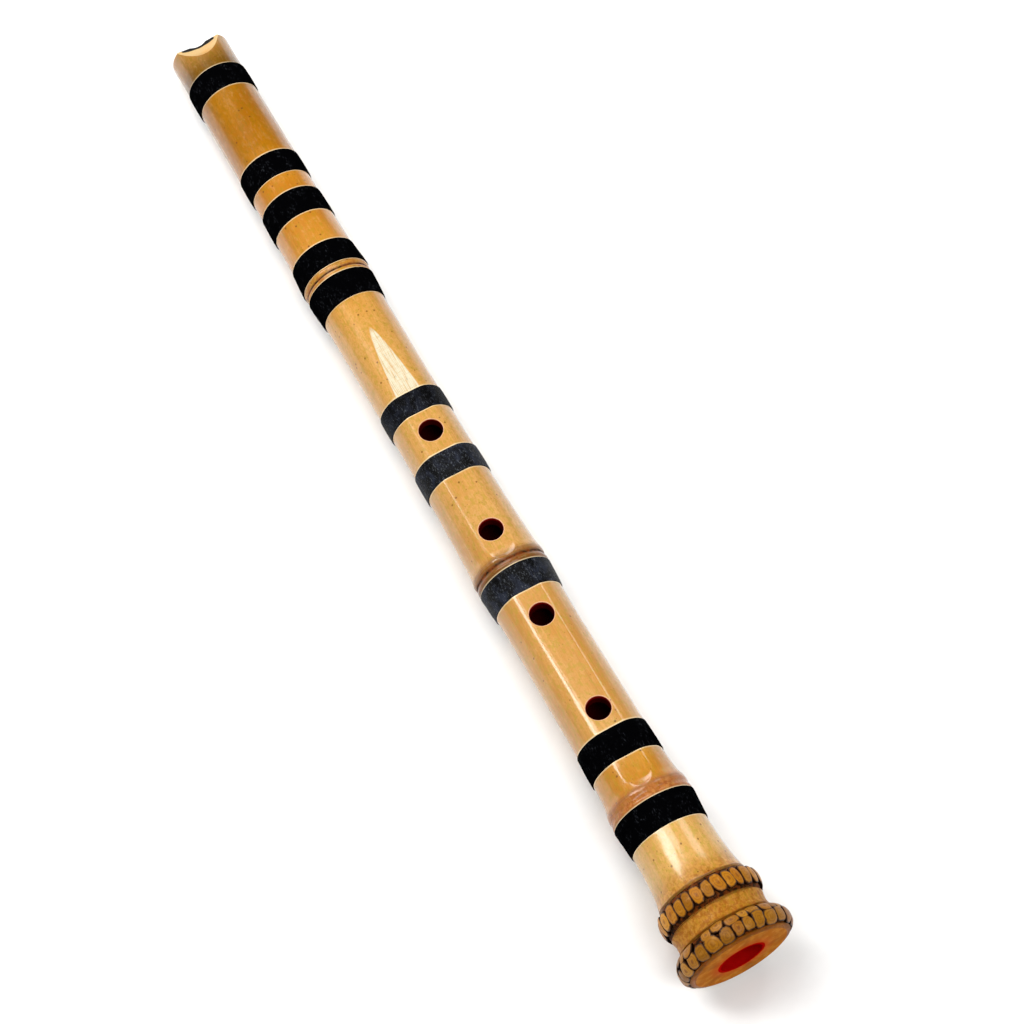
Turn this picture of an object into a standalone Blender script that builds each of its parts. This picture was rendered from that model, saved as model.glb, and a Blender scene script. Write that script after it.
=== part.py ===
"""Root-end bamboo flute (shakuhachi) in two sections, lying along X.

The mouth end points to -X, the root end to +X, and the finger holes face +Z.
Lengths are in millimetres and are turned into metres by MM. A "station" is a
distance along the bore from the mouth end.
"""
import math

import bmesh
import bpy
from mathutils import Matrix, Vector

MM = 0.001

# ---------------------------------------------------------------- main sizes
BORE_LENGTH = 545.0          # standard 1.8 shaku flute
MIDDLE = BORE_LENGTH / 2.0   # station at the world origin
GAP = 0.3                    # clearance between neighbouring pieces
CULM_SIDES = 48
BAND_SIDES = 32
TUBE_SIDES = 32

# mouth end: square cut, with the blowing bevel on the front
RIM_ROUND = 0.8
EDGE_STATION = 1.3           # how far the blowing edge dips below the mouth end
BEVEL_ANGLE = 30.0           # degrees between the bevel and the bore
INLAY_THICKNESS = 1.4
INLAY_SLOPE = 2.9            # how far the horn inlay reaches down the bevel
INLAY_HALF_WIDTH = 8.9

# bore and its lacquered lining
MOUTH_BORE = 9.8
JOINT_BORE = 8.6
THROAT_BORE = 7.8
THROAT_STATION = 465.0
ROOT_BORE = 10.3
LINING = 1.0

# middle joint: a bored tenon fixed in the root section enters the mouth section
JOINT_STATION = 175.5
TENON_RADIUS = 12.3
TENON_REACH = 22.0
TENON_SEAT = 22.0

# finger holes 4, 3, 2 and 1 on the front, and the thumb hole on the back
FINGER_HOLES = (258.3, 318.3, 367.0, 419.7)
FINGER_HOLE_RADIUS = 5.8
THUMB_HOLE = 228.4
THUMB_HOLE_RADIUS = 5.2

# bindings of wound thread: first and last station of each, from the mouth
BINDINGS = (
    (21.0, 34.9), (81.4, 95.3), (106.5, 121.4), (141.4, 155.1), (161.3, 175.5),
    (235.1, 247.0), (270.9, 284.5), (340.0, 353.0), (430.6, 445.4), (469.0, 482.8),
)
BINDING_PROUD = 0.65         # how far a binding stands out of the bamboo
BINDING_DEPTH = 1.05         # its thickness
BINDING_CROWN = 0.15

# root end: two rings of cut root stubs with a waist between them
STUB_NOTCH = 1.3
ROOT_RING_ONE = (511.0, 524.5)
ROOT_RING_TWO = (531.8, 541.5)
ROOT_FACE_RADIUS = 22.5

# outside of the culm as station and radius, from the mouth end to the root end
PLAIN_UPPER = (
    (0.0, 15.5), (14.0, 15.35), (45.0, 15.55), (90.0, 15.65), (108.0, 15.65),
    (126.0, 16.0), (141.0, 16.25), (151.5, 16.75),
)
UPPER_NODE = ((156.2, 17.35), (158.6, 16.7), (160.2, 17.2), (162.0, 16.75))
PLAIN_MIDDLE = (
    (168.0, 16.35), (183.0, 15.9), (211.0, 15.8), (259.0, 15.85), (290.0, 16.15),
    (316.0, 16.75), (328.0, 17.3),
)
MIDDLE_NODE = ((333.8, 18.1), (336.0, 17.6), (338.2, 18.1), (340.0, 17.6))
PLAIN_LOWER = (
    (346.0, 17.15), (354.0, 16.8), (370.0, 16.55), (385.0, 16.7), (414.0, 16.95),
    (432.0, 17.1), (449.0, 17.65), (457.5, 18.4),
)
LOWER_NODE = ((463.5, 19.75), (465.5, 19.5), (467.6, 19.85), (470.0, 19.4))
ROOT_NECK = ((483.0, 18.65), (490.0, 18.7), (502.0, 19.5), (508.0, 20.4))
ROOT_END = (
    (ROOT_RING_ONE[0], 21.2), (513.5, 23.9), (518.0, 24.85), (522.0, 24.3),
    (ROOT_RING_ONE[1], 22.6), (528.5, 22.0),
    (ROOT_RING_TWO[0], 22.6), (534.5, 26.0), (538.5, 27.7), (ROOT_RING_TWO[1], 27.4),
    (543.8, 25.6), (BORE_LENGTH, ROOT_FACE_RADIUS),
)
OUTLINE = (PLAIN_UPPER + UPPER_NODE + PLAIN_MIDDLE + MIDDLE_NODE + PLAIN_LOWER
           + LOWER_NODE + ROOT_NECK + ROOT_END)


def mix(a, b, share):
    """Value between a and b."""
    return a + (b - a) * share


def outline_radius(station):
    """Outer radius of the bamboo at a station."""
    for (s0, r0), (s1, r1) in zip(OUTLINE, OUTLINE[1:]):
        if station <= s1:
            return mix(r0, r1, (station - s0) / (s1 - s0))
    return OUTLINE[-1][1]


def bore_radius(station):
    """Radius of the air column, narrowing to the throat and opening at the root."""
    if station <= JOINT_STATION:
        return mix(MOUTH_BORE, JOINT_BORE, station / JOINT_STATION)
    if station <= THROAT_STATION:
        share = (station - JOINT_STATION) / (THROAT_STATION - JOINT_STATION)
        return mix(JOINT_BORE, THROAT_BORE, share)
    share = (station - THROAT_STATION) / (BORE_LENGTH - THROAT_STATION)
    return mix(THROAT_BORE, ROOT_BORE, share * share)


def lining_radius(station):
    """Outer radius of the lining."""
    return bore_radius(station) + LINING


def along(station):
    """World X, in metres, of a station."""
    return (station - MIDDLE) * MM


def place(station, y, z):
    """World position of a point given by station, y and height in millimetres."""
    return Vector((along(station), y * MM, z * MM))


# ------------------------------------------------------------------ materials
def make_material(name, colour, roughness, metallic=0.0):
    """Principled material with one linear colour."""
    material = bpy.data.materials.new(name)
    material.use_nodes = True
    shader = material.node_tree.nodes["Principled BSDF"]
    shader.inputs["Base Color"].default_value = (*colour, 1.0)
    shader.inputs["Roughness"].default_value = roughness
    shader.inputs["Metallic"].default_value = metallic
    material.diffuse_color = (*colour, 1.0)
    return material


# ---------------------------------------------------------------- mesh helpers
def add_object(name, mesh, material=None):
    """Link a mesh to the scene as a smooth-shaded object."""
    mesh.shade_smooth()
    mesh.set_sharp_from_angle(angle=math.radians(32.0))
    item = bpy.data.objects.new(name, mesh)
    bpy.context.scene.collection.objects.link(item)
    if material:
        mesh.materials.append(material)
    return item


def turned(name, loop, sides, material=None):
    """Body turned about the bore from a closed loop of (station, radius, notch).

    The loop runs to the root along the outside and back along the inside. Every
    second point of a ring with a notch is sunk by it, which makes root stubs.
    """
    shape = bmesh.new()
    rings = []
    for station, radius, notch in loop:
        ring = []
        for i in range(sides):
            angle = 2.0 * math.pi * i / sides
            r = radius - (notch if i % 2 else 0.0)
            ring.append(shape.verts.new(place(station, r * math.sin(angle), r * math.cos(angle))))
        rings.append(ring)
    for ring, after in zip(rings, rings[1:] + rings[:1]):
        for i in range(sides):
            j = (i + 1) % sides
            shape.faces.new((ring[i], ring[j], after[j], after[i]))
    bmesh.ops.recalc_face_normals(shape, faces=shape.faces)
    mesh = bpy.data.meshes.new(name)
    shape.to_mesh(mesh)
    shape.free()
    return add_object(name, mesh, material)


def tool(item):
    """Mark an object as a cutter that is not part of the flute."""
    item.hide_render = True
    item.display_type = "WIRE"
    return item


def boolean(item, cutter, operation="DIFFERENCE"):
    """Add an exact Boolean modifier."""
    modifier = item.modifiers.new(cutter.name, "BOOLEAN")
    modifier.operation = operation
    modifier.solver = "EXACT"
    modifier.object = cutter


def block(name, corner_low, corner_high, matrix):
    """Cutter block between two corners, set in the axes of a matrix."""
    shape = bmesh.new()
    bmesh.ops.create_cube(shape, size=1.0)
    low, high = Vector(corner_low), Vector(corner_high)
    for vert in shape.verts:
        share = vert.co + Vector((0.5, 0.5, 0.5))
        vert.co = Vector([mix(low[i], high[i], share[i]) for i in range(3)]) * MM
    mesh = bpy.data.meshes.new(name)
    shape.to_mesh(mesh)
    shape.free()
    item = tool(add_object(name, mesh))
    item.matrix_world = matrix
    return item


def drill(name, station, radius, direction):
    """Cutter cylinder from inside the bore out through one wall."""
    inner, outer = 3.0, 24.0
    shape = bmesh.new()
    bmesh.ops.create_cone(
        shape, cap_ends=True, segments=28,
        radius1=radius * MM, radius2=radius * MM, depth=(outer - inner) * MM)
    mesh = bpy.data.meshes.new(name)
    shape.to_mesh(mesh)
    shape.free()
    item = tool(add_object(name, mesh))
    item.location = (along(station), 0.0, direction * (inner + outer) / 2.0 * MM)
    return item


# ------------------------------------------------------------ outline of a culm
def binding_inside(station):
    """Radius of the inner side of a binding."""
    return outline_radius(station) + BINDING_PROUD - BINDING_DEPTH


def outside_loop(start, end, bindings):
    """Outer profile between two stations, with a groove under each binding."""
    points = [(s, r) for s, r in OUTLINE if start < s < end]
    points.append((start, outline_radius(start)))
    points.append((end, outline_radius(end)))
    for first, last in bindings:
        low, high = first - GAP, last + GAP
        points = [p for p in points if not low <= p[0] <= high]
        points.append((low, outline_radius(low)))
        points.append((low, binding_inside(first) - GAP))
        if high > end:
            points.append((end, binding_inside(end) - GAP))
            continue
        points.append((high, binding_inside(last) - GAP))
        points.append((high, outline_radius(high)))
    # a stable sort by station alone keeps the two ends of each groove wall in order
    points.sort(key=lambda point: point[0])
    return points


def stub_notch(station):
    """Depth of the cuts between root stubs at a station."""
    for first, last in (ROOT_RING_ONE, ROOT_RING_TWO):
        if first < station < last:
            return STUB_NOTCH
    return 0.0


# ---------------------------------------------------------------- mouth section
def mouth_rim():
    """Rim of the mouth end: flat land, then a rounded outer edge."""
    land = outline_radius(0.0) - RIM_ROUND
    points = []
    for degrees in (0.0, 45.0, 90.0):
        turn = math.radians(degrees)
        station = RIM_ROUND * (1.0 - math.cos(turn))
        points.append((station, land + RIM_ROUND * math.sin(turn)))
    return points


def bevel_axes():
    """Axes of the blowing bevel: X down the slope, Z out of it."""
    tilt = math.radians(BEVEL_ANGLE)
    slope = Vector((math.cos(tilt), 0.0, math.sin(tilt)))
    side = Vector((0.0, 1.0, 0.0))
    out = slope.cross(side)
    matrix = Matrix((slope, side, out)).transposed().to_4x4()
    matrix.translation = Vector((along(EDGE_STATION), 0.0, MOUTH_BORE * MM))
    return matrix


def socket_depth():
    """Station of the bottom of the tenon's socket."""
    return JOINT_STATION - TENON_REACH


def build_mouth_tools():
    """Cutters for the bevel and for the seat of its inlay, and the inlay's own limits."""
    axes = bevel_axes()
    waste = block("bevel_waste", (-30.0, -25.0, 0.0), (40.0, 25.0, 30.0), axes)
    wide = INLAY_HALF_WIDTH
    reach = INLAY_SLOPE
    deep = INLAY_THICKNESS
    seat = block("inlay_seat", (-8.0, -wide - GAP, -deep - GAP), (reach + GAP, wide + GAP, 8.0), axes)
    plate = block("inlay_plate", (-8.0, -wide, -deep), (reach, wide, 0.0), axes)
    return waste, seat, plate


def build_upper_culm(material, waste, seat):
    """Bamboo of the mouth section, with the socket for the tenon."""
    bindings = [band for band in BINDINGS if band[1] <= JOINT_STATION]
    outside = mouth_rim() + outside_loop(RIM_ROUND + 1.0, JOINT_STATION, bindings)
    socket = TENON_RADIUS + GAP
    floor = socket_depth()
    inside = [
        (JOINT_STATION, socket),
        (floor, socket),
        (floor, lining_radius(floor) + GAP),
        (0.0, lining_radius(0.0) + GAP),
    ]
    loop = [(s, r, 0.0) for s, r in outside + inside]
    culm = turned("upper_culm", loop, CULM_SIDES, material)
    boolean(culm, waste)
    boolean(culm, seat)
    return culm


def build_inlay(material, plate):
    """Dark horn strip let into the bevel; its inner edge is the blowing edge."""
    reach = 12.0
    outside = mouth_rim() + [(reach, outline_radius(reach))]
    inside = [(reach, bore_radius(0.0)), (0.0, bore_radius(0.0))]
    loop = [(s, r, 0.0) for s, r in outside + inside]
    inlay = turned("utaguchi_inlay", loop, CULM_SIDES, material)
    boolean(inlay, plate, "INTERSECT")
    return inlay


def build_upper_lining(material, waste, seat):
    """Lacquered lining of the mouth section."""
    end = socket_depth() - GAP
    lining = turned("upper_bore_lining", lining_loop(0.0, end), TUBE_SIDES, material)
    boolean(lining, waste)
    boolean(lining, seat)
    return lining


def lining_loop(start, end, between=()):
    """Closed profile of a lining between two stations."""
    stations = [start] + list(between) + [end]
    outside = [(s, lining_radius(s), 0.0) for s in stations]
    inside = [(s, bore_radius(s), 0.0) for s in reversed(stations)]
    return outside + inside


# ----------------------------------------------------------------- root section
def build_lower_culm(material, drills):
    """Bamboo of the root section, with its holes and its rings of root stubs."""
    start = JOINT_STATION + GAP
    seat_end = JOINT_STATION + TENON_SEAT + GAP
    bindings = [band for band in BINDINGS if band[0] > JOINT_STATION]
    outside = outside_loop(start, BORE_LENGTH, bindings)
    loop = [(s, r, stub_notch(s)) for s, r in outside]
    inside = [
        (BORE_LENGTH, lining_radius(BORE_LENGTH) + GAP),
        (520.0, lining_radius(520.0) + GAP),
        (THROAT_STATION, lining_radius(THROAT_STATION) + GAP),
        (seat_end, lining_radius(seat_end) + GAP),
        (seat_end, TENON_RADIUS + GAP),
        (start, TENON_RADIUS + GAP),
    ]
    loop += [(s, r, 0.0) for s, r in inside]
    culm = turned("lower_culm", loop, CULM_SIDES, material)
    for cutter in drills:
        boolean(culm, cutter)
    return culm


def build_lower_lining(material, drills):
    """Lacquered lining of the root section, open at every hole."""
    start = JOINT_STATION + TENON_SEAT + 2.0 * GAP
    loop = lining_loop(start, BORE_LENGTH, (THROAT_STATION, 500.0, 525.0))
    lining = turned("lower_bore_lining", loop, TUBE_SIDES, material)
    for cutter in drills:
        boolean(lining, cutter)
    return lining


def build_tenon(material):
    """Bored tenon of the middle joint."""
    first = socket_depth() + 2.0 * GAP
    last = JOINT_STATION + TENON_SEAT
    chamfer = 0.8
    loop = [
        (first, TENON_RADIUS - chamfer, 0.0),
        (first + chamfer, TENON_RADIUS, 0.0),
        (last, TENON_RADIUS, 0.0),
        (last, JOINT_BORE, 0.0),
        (first, JOINT_BORE, 0.0),
    ]
    return turned("joint_tenon", loop, TUBE_SIDES, material)


def build_binding(number, first, last, material):
    """One binding: a crowned ring of thread in its groove."""
    middle = (first + last) / 2.0
    edge = BINDING_DEPTH - BINDING_CROWN
    loop = [
        (first, binding_inside(first), 0.0),
        (first, binding_inside(first) + edge, 0.0),
        (middle, binding_inside(middle) + BINDING_DEPTH, 0.0),
        (last, binding_inside(last) + edge, 0.0),
        (last, binding_inside(last), 0.0),
    ]
    return turned(f"binding_{number:02d}", loop, BAND_SIDES, material)


def main():
    """Build the whole flute."""
    for item in list(bpy.data.objects):
        bpy.data.objects.remove(item, do_unlink=True)

    bamboo_upper = make_material("bamboo_upper", (0.47, 0.19, 0.035), 0.35)
    bamboo_lower = make_material("bamboo_lower", (0.60, 0.34, 0.11), 0.3)
    dark_horn = make_material("dark_horn", (0.012, 0.009, 0.007), 0.3)
    red_lacquer = make_material("red_lacquer", (0.23, 0.002, 0.002), 0.15)
    black_thread = make_material("black_thread", (0.008, 0.009, 0.012), 0.45)
    tenon_lacquer = make_material("tenon_lacquer", (0.02, 0.008, 0.006), 0.25)

    waste, seat, plate = build_mouth_tools()
    drills = [drill(f"finger_drill_{4 - i}", station, FINGER_HOLE_RADIUS, 1.0)
              for i, station in enumerate(FINGER_HOLES)]
    drills.append(drill("thumb_drill", THUMB_HOLE, THUMB_HOLE_RADIUS, -1.0))

    build_upper_culm(bamboo_upper, waste, seat)
    build_inlay(dark_horn, plate)
    build_upper_lining(red_lacquer, waste, seat)
    build_lower_culm(bamboo_lower, drills)
    build_lower_lining(red_lacquer, drills)
    build_tenon(tenon_lacquer)
    for number, (first, last) in enumerate(BINDINGS, start=1):
        build_binding(number, first, last, black_thread)


main()
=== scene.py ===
"""Looks of the root-end bamboo flute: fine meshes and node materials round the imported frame.

The flute lies along X, mouth end at -X, finger holes up. A "station" is a distance
in millimetres from the mouth end, and an angle is measured from +Z towards +Y.
"""

import math

import bmesh
import bpy
import numpy as np
from mathutils import Matrix, Vector


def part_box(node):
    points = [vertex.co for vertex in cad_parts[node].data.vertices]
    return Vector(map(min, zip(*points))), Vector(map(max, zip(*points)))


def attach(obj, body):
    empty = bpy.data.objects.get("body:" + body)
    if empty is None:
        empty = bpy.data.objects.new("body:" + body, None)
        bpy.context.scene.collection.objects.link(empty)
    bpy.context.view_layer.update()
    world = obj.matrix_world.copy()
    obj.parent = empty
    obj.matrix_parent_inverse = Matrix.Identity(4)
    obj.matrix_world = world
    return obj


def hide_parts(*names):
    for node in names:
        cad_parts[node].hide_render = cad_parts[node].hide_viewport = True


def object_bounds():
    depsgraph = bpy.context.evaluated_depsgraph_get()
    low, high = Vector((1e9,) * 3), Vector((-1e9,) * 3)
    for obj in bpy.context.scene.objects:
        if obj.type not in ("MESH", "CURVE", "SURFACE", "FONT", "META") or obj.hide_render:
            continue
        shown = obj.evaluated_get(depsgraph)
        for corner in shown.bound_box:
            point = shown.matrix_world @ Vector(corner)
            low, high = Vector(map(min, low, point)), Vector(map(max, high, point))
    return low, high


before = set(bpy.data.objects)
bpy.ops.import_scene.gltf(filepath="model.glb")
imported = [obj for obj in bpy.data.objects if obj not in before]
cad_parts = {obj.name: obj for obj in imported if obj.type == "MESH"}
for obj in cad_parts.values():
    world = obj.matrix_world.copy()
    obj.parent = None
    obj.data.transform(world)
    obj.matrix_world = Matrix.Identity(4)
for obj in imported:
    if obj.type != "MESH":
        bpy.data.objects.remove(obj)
cad_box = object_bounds()

MM = 0.001
UPPER, LOWER = "mouth_section", "root_section"
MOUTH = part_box("upper_culm")[0].x / MM
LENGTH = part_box("lower_culm")[1].x / MM - MOUTH
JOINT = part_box("upper_culm")[1].x / MM - MOUTH
RANDOM = np.random.default_rng(18)

# ---- sizes in millimetres
GAP = 0.3                     # between the CAD pieces
SLIP = 0.02                   # between a visible piece and the one it lies in
ROW = 0.6                     # spacing of the rows of a culm's mesh
NODE_ROW = 0.25               # and at its nodes
ROOT_ROW = 0.3                # and at its root
CULM_POINTS = 256             # points round the bore, and so for each piece below
BAND_POINTS = 144
TUBE_POINTS = 160
STUB_POINTS = 24
INLAY_POINTS = 240
FRONT_DENSITY = 0.45          # how much closer a culm's points stand at the front
RING_COUNT = 16               # fewest points of a turned ring of a CAD node
OUTSIDE_LEAST = 15.2          # below every radius of the bamboo's outside
SOCKET_MOST = 13.5            # above every radius of the joint's socket

FINGER_HOLES = (258.3, 318.3, 367.0, 419.7)
FINGER_HOLE_RADIUS = 5.8
THUMB_HOLES = (228.4,)
THUMB_HOLE_RADIUS = 5.2
HOLE_MARGIN = 1.9             # from a hole's edge to the mesh it is set into
HOLE_ROUND = 0.4              # rounding of its edge
# A hole's rings of points: shares of the way from its edge to the outer mesh, degrees round
# its edge, shares of its wall, and shares of the way from its foot to the inner mesh.
HOLE_BLEND = (0.78, 0.58, 0.42, 0.29, 0.19, 0.11, 0.05, 0.0)
HOLE_EDGE = (18, 36, 54, 72, 90)
HOLE_WALL = (0.25, 0.6, 1.0)
HOLE_INSIDE = (0.3, 0.65)
SPREAD = 0.4                  # turn of the inner skin's points, to pass round the holes
SPREAD_RUN = 12.0             # over which that turn grows from nothing
SPREAD_FROM = THUMB_HOLES[0] - 22.0
SPREAD_TO = FINGER_HOLES[-1] + 40.0
START_RADIUS = 16.0           # first guess of a skin's radius

FLAT_ROUND = 0.26             # rounding of the long edges of the planed flat
FLAT_WIDE = 6.4               # half of the flat's width
# Start, run-in and its power, then end and run-out, of each planed flat.
FLAT_RUNS = ((195.0, 40.0, 0.6, 329.0, 4.4), (341.0, 9.0, 0.5, 454.5, 6.0))
FLAT_END_SLOPE = 0.58         # of the short ramp that closes each flat
FLAT_HIGHLIGHT = (195.0, 236.0)       # span of a painted highlight at the start of the first flat

BAND_PROUD = 0.65             # height of a binding over the bamboo
BAND_SUNK = 0.4               # depth of the groove it is wound in
LIP = 0.3                     # rounding of the bamboo at a binding's edges
LIP_ROWS = (-0.01, 0.0, 0.02, 0.06, 0.13, 0.22, LIP)
SEAM = 0.06                   # crack between a binding and the bamboo beside it
THREAD_PITCH = 0.5

NODE_GROOVES = (158.6, 336.0, 465.5)
RIM_ROUND = 1.3               # rounding of the mouth end's rim
END_ROUND = 0.25              # and of the two ends that meet at the joint
TENON_ROUND = 0.9             # and of the tenon's end
EDGE_STATION = 2.0            # the blowing edge
BEVEL_ANGLE = math.radians(30.0)
BEVEL_SCOOP = 60.0            # radius of the bevel across its width
BEVEL_HALF_WIDTH = 17.0
INLAY_REACH = 2.1
INLAY_HALF_WIDTH = 8.9
INLAY_THICKNESS = 1.4
INLAY_RUN = 14.0              # length of the round body that the inlay is cut from
TOOL_REACH = 12.0             # how far a cutter stands out of the bamboo

ROOT_START = 508.0            # where the plain culm ends and the root begins
ROOT_REST = 538.5             # where the root touches the floor
ROOT_RINGS = ((511.0, 524.5), (531.8, 544.4))
ROOT_SINK = 1.7               # depth of the crevices between root stubs
# Each row of stubs: how many, station, half length, scatter, and the share left out.
STUB_ROWS = ((27, 518.1, 5.0, 0.2, 0.0), (30, 534.9, 3.9, 0.5, 0.05), (27, 541.0, 4.6, 0.4, 0.0))
# Each ring of a stub's points: share of its size, height and rho, the distance from its middle.
STUB_RINGS = ((0.3, 0.12, 0.3), (0.55, 0.1, 0.55), (0.75, 0.06, 0.75), (0.87, -0.02, 0.87),
              (0.95, -0.16, 0.96), (1.0, -0.42, 1.06), (1.02, -0.8, 1.2), (0.96, -2.4, 1.3))
STUB_TOP = 0.13               # height of a stub's middle

# Softboxes, in metres: place, size, and radiance.
SOFTBOXES = {"left_box": ((-0.36, -0.6, 1.2), (0.72, 0.36), 12.0),
             "right_box": ((-0.44, 1.05, 1.2), (0.56, 0.4), 5.0),
             "neck_box": ((-0.08, -0.13, 1.2), (0.3, 0.56), 6.6),
             "far_box": ((-2.0, -0.15, 0.85), (1.4, 1.0), 6.2)}
SUN_STRENGTH = 1.84
SUN_PLACE = Vector((0.8, 0.4, 1.5))     # direction that the sun lamp shines from
DARK_PATCH = Vector((-0.3, 0.1, 0.9))   # direction of the room's dark patch
FLOOR_HALF = 6.0              # half of the floor's side, in metres
FLOOR_GAP = 0.0002            # between the flute and the floor, in metres


# ---- CAD measures
def ends_of(node):
    """Stations of the two ends of a CAD node."""
    low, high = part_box(node)
    return low.x / MM - MOUTH, high.x / MM - MOUTH


def points_of(mesh):
    """Station, y and z, in millimetres, of every point of a mesh."""
    points = np.empty(len(mesh.vertices) * 3, np.float32)
    mesh.vertices.foreach_get("co", points)
    station, y, z = (points.reshape(-1, 3) / MM).T
    return station - MOUTH, y, z


def rings_of(node):
    """Station and radius, in millimetres, of every turned ring in a CAD node's mesh."""
    station, y, z = points_of(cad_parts[node].data)
    rounded = np.stack((np.round(station, 2), np.round(np.hypot(y, z), 2)), 1)
    pairs, counts = np.unique(rounded, axis=0, return_counts=True)
    return pairs[counts >= RING_COUNT]


def profile(pairs, outer):
    """Largest or smallest radius at each station, as two arrays."""
    stations = np.unique(pairs[:, 0])
    pick = np.max if outer else np.min
    return stations, np.array([pick(pairs[pairs[:, 0] == s, 1]) for s in stations])


def smooth_curve(x, y):
    """Monotone cubic through the points (x, y), as a function of an array."""
    step = np.diff(x)
    slope = np.diff(y) / step
    tangent = np.zeros(len(x))
    tangent[0], tangent[-1] = slope[0], slope[-1]
    same = slope[:-1] * slope[1:] > 0
    mean = 2.0 * slope[:-1] * slope[1:] / np.where(same, slope[:-1] + slope[1:], 1.0)
    tangent[1:-1] = np.where(same, mean, 0.0)

    def curve(at):
        at = np.clip(np.asarray(at, float), x[0], x[-1])
        i = np.clip(np.searchsorted(x, at) - 1, 0, len(step) - 1)
        t = (at - x[i]) / step[i]
        return ((1 + 2 * t) * (1 - t) ** 2 * y[i] + t * (1 - t) ** 2 * step[i] * tangent[i]
                + t * t * (3 - 2 * t) * y[i + 1] + t * t * (t - 1) * step[i] * tangent[i + 1])

    return curve


def bamboo_outline():
    """Outer radius of the bamboo as a smooth function of station."""
    pairs = np.concatenate((rings_of("upper_culm"), rings_of("lower_culm")))
    pairs = pairs[pairs[:, 1] > OUTSIDE_LEAST]
    stations, radii = profile(pairs, True)
    keep = (stations > RIM_ROUND) & (np.abs(stations - JOINT) > 0.5)
    keep &= np.append(True, np.diff(stations) > 0.05)
    stations, radii = stations[keep], radii[keep]
    return smooth_curve(np.append(0.0, stations), np.append(radii[0] + 0.1, radii))


OUTLINE = bamboo_outline()
BANDS = [(node, *ends_of(node)) for node in sorted(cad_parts) if node.startswith("binding")]


# ---- surface of the culm
def held(values):
    """Values held between 0 and 1."""
    return np.clip(values, 0.0, 1.0)


def soft_min(a, b, size):
    """Smaller of two values, rounded where they are within size of each other."""
    near = held(1.0 - np.abs(a - b) / np.maximum(size, 1e-6))
    return np.minimum(a, b) - near * near * size / 4.0


def flat_half_width(s, start, run_in, power):
    """Half of the width of a planed flat at a station, from its own start."""
    return FLAT_WIDE * held((s - start) / run_in) ** power


def flat_end(y, end, run_out):
    """Station where a flat's closing ramp begins, over a U-shaped outline."""
    return end + run_out * np.sqrt(held(1.0 - (y / FLAT_WIDE) ** 2))


def ripple(s, angle):
    """Slight natural unevenness of the bamboo."""
    return (0.035 * np.sin(s / 9.0 + 2.0 * np.sin(angle)) * np.cos(angle * 2.0 + s / 31.0)
            + 0.03 * np.sin(angle * 3.0 + s / 17.0) + 0.012 * np.sin(angle * 7.0 - s / 6.0))


def surface(s, angle, proud=0.0, rounding=FLAT_ROUND):
    """Radius of the bamboo with its planed flat, or of a layer proud of it."""
    bare = OUTLINE(s)
    radius = bare + proud
    facing = np.maximum(np.cos(angle), 0.2)
    rounding = rounding * np.clip(1.7 - 1.6 * np.sin(angle), 1.2, 2.4)
    for start, run_in, power, end, run_out in FLAT_RUNS:
        wide = flat_half_width(s, start, run_in, power)
        depth = bare - np.sqrt(bare * bare - wide * wide)
        past = s - flat_end(bare * np.sin(angle), end, run_out)
        ramp = FLAT_END_SLOPE * (past + np.sqrt(past * past + 0.9)) / 2.0
        flat = (bare - depth + proud + ramp) / facing
        flat = np.where((depth > 0.001) & (np.cos(angle) > 0.2), flat, 1e3)
        radius = soft_min(radius, flat, rounding * np.clip(depth / 0.35, 0.02, 1.0))
    return radius + ripple(s, angle)


def root_sink(s):
    """How far the bamboo between root stubs lies below their tops."""
    sink = np.zeros_like(s)
    for first, last in ROOT_RINGS:
        edge = held(np.minimum(s - first, last - s) / 1.2)
        sink = np.maximum(sink, ROOT_SINK * edge * edge * (3.0 - 2.0 * edge))
    return sink


def bamboo(s, angle):
    """Radius of a culm's outside, with its grooves under the bindings."""
    radius = surface(s, angle) - root_sink(s)
    for _, first, last in BANDS:
        low, high = first - SEAM, last + SEAM
        inside = (s > low) & (s < high)
        radius = np.where(inside, radius - BAND_SUNK - GAP, radius)
        off = np.maximum(low - s, s - high)
        lip = (off >= 0.0) & (off < LIP)
        fall = LIP - np.sqrt(np.clip(LIP * LIP - (LIP - np.clip(off, 0.0, LIP)) ** 2, 0.0, None))
        radius = np.where(lip, radius - fall, radius)
    return radius


# ---- mesh making
def add_object(name, data):
    """New object in the scene."""
    item = bpy.data.objects.new(name, data)
    bpy.context.scene.collection.objects.link(item)
    return item


def make_mesh(name, points, faces, kinds=None):
    """Object from points in millimetres (station, y, z) and faces with their slots."""
    mesh = bpy.data.meshes.new(name)
    mesh.from_pydata((np.asarray(points) + (MOUTH, 0.0, 0.0)) * MM, [], faces)
    if kinds is not None:
        mesh.polygons.foreach_set("material_index", np.asarray(kinds, np.int32))
    shape = bmesh.new()
    shape.from_mesh(mesh)
    loose = [vert for vert in shape.verts if not vert.link_faces]
    bmesh.ops.delete(shape, geom=loose, context="VERTS")
    bmesh.ops.recalc_face_normals(shape, faces=shape.faces)
    shape.to_mesh(mesh)
    shape.free()
    return add_object(name, mesh)


def finish_mesh(item, materials, angle=38.0):
    """Smooth shading with sharp corners, and the piece's materials."""
    mesh = item.data
    mesh.shade_smooth()
    mesh.set_sharp_from_angle(angle=math.radians(angle))
    kinds = np.empty(len(mesh.polygons), np.int32)
    mesh.polygons.foreach_get("material_index", kinds)
    mesh.materials.clear()
    for material in materials:
        mesh.materials.append(material)
    mesh.polygons.foreach_set("material_index", kinds)
    return item


def angles(count, density=0.0):
    """Angles round the bore, closer together at the front."""
    even = np.arange(count) * 2.0 * math.pi / count
    return even - density * np.sin(even)


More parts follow.
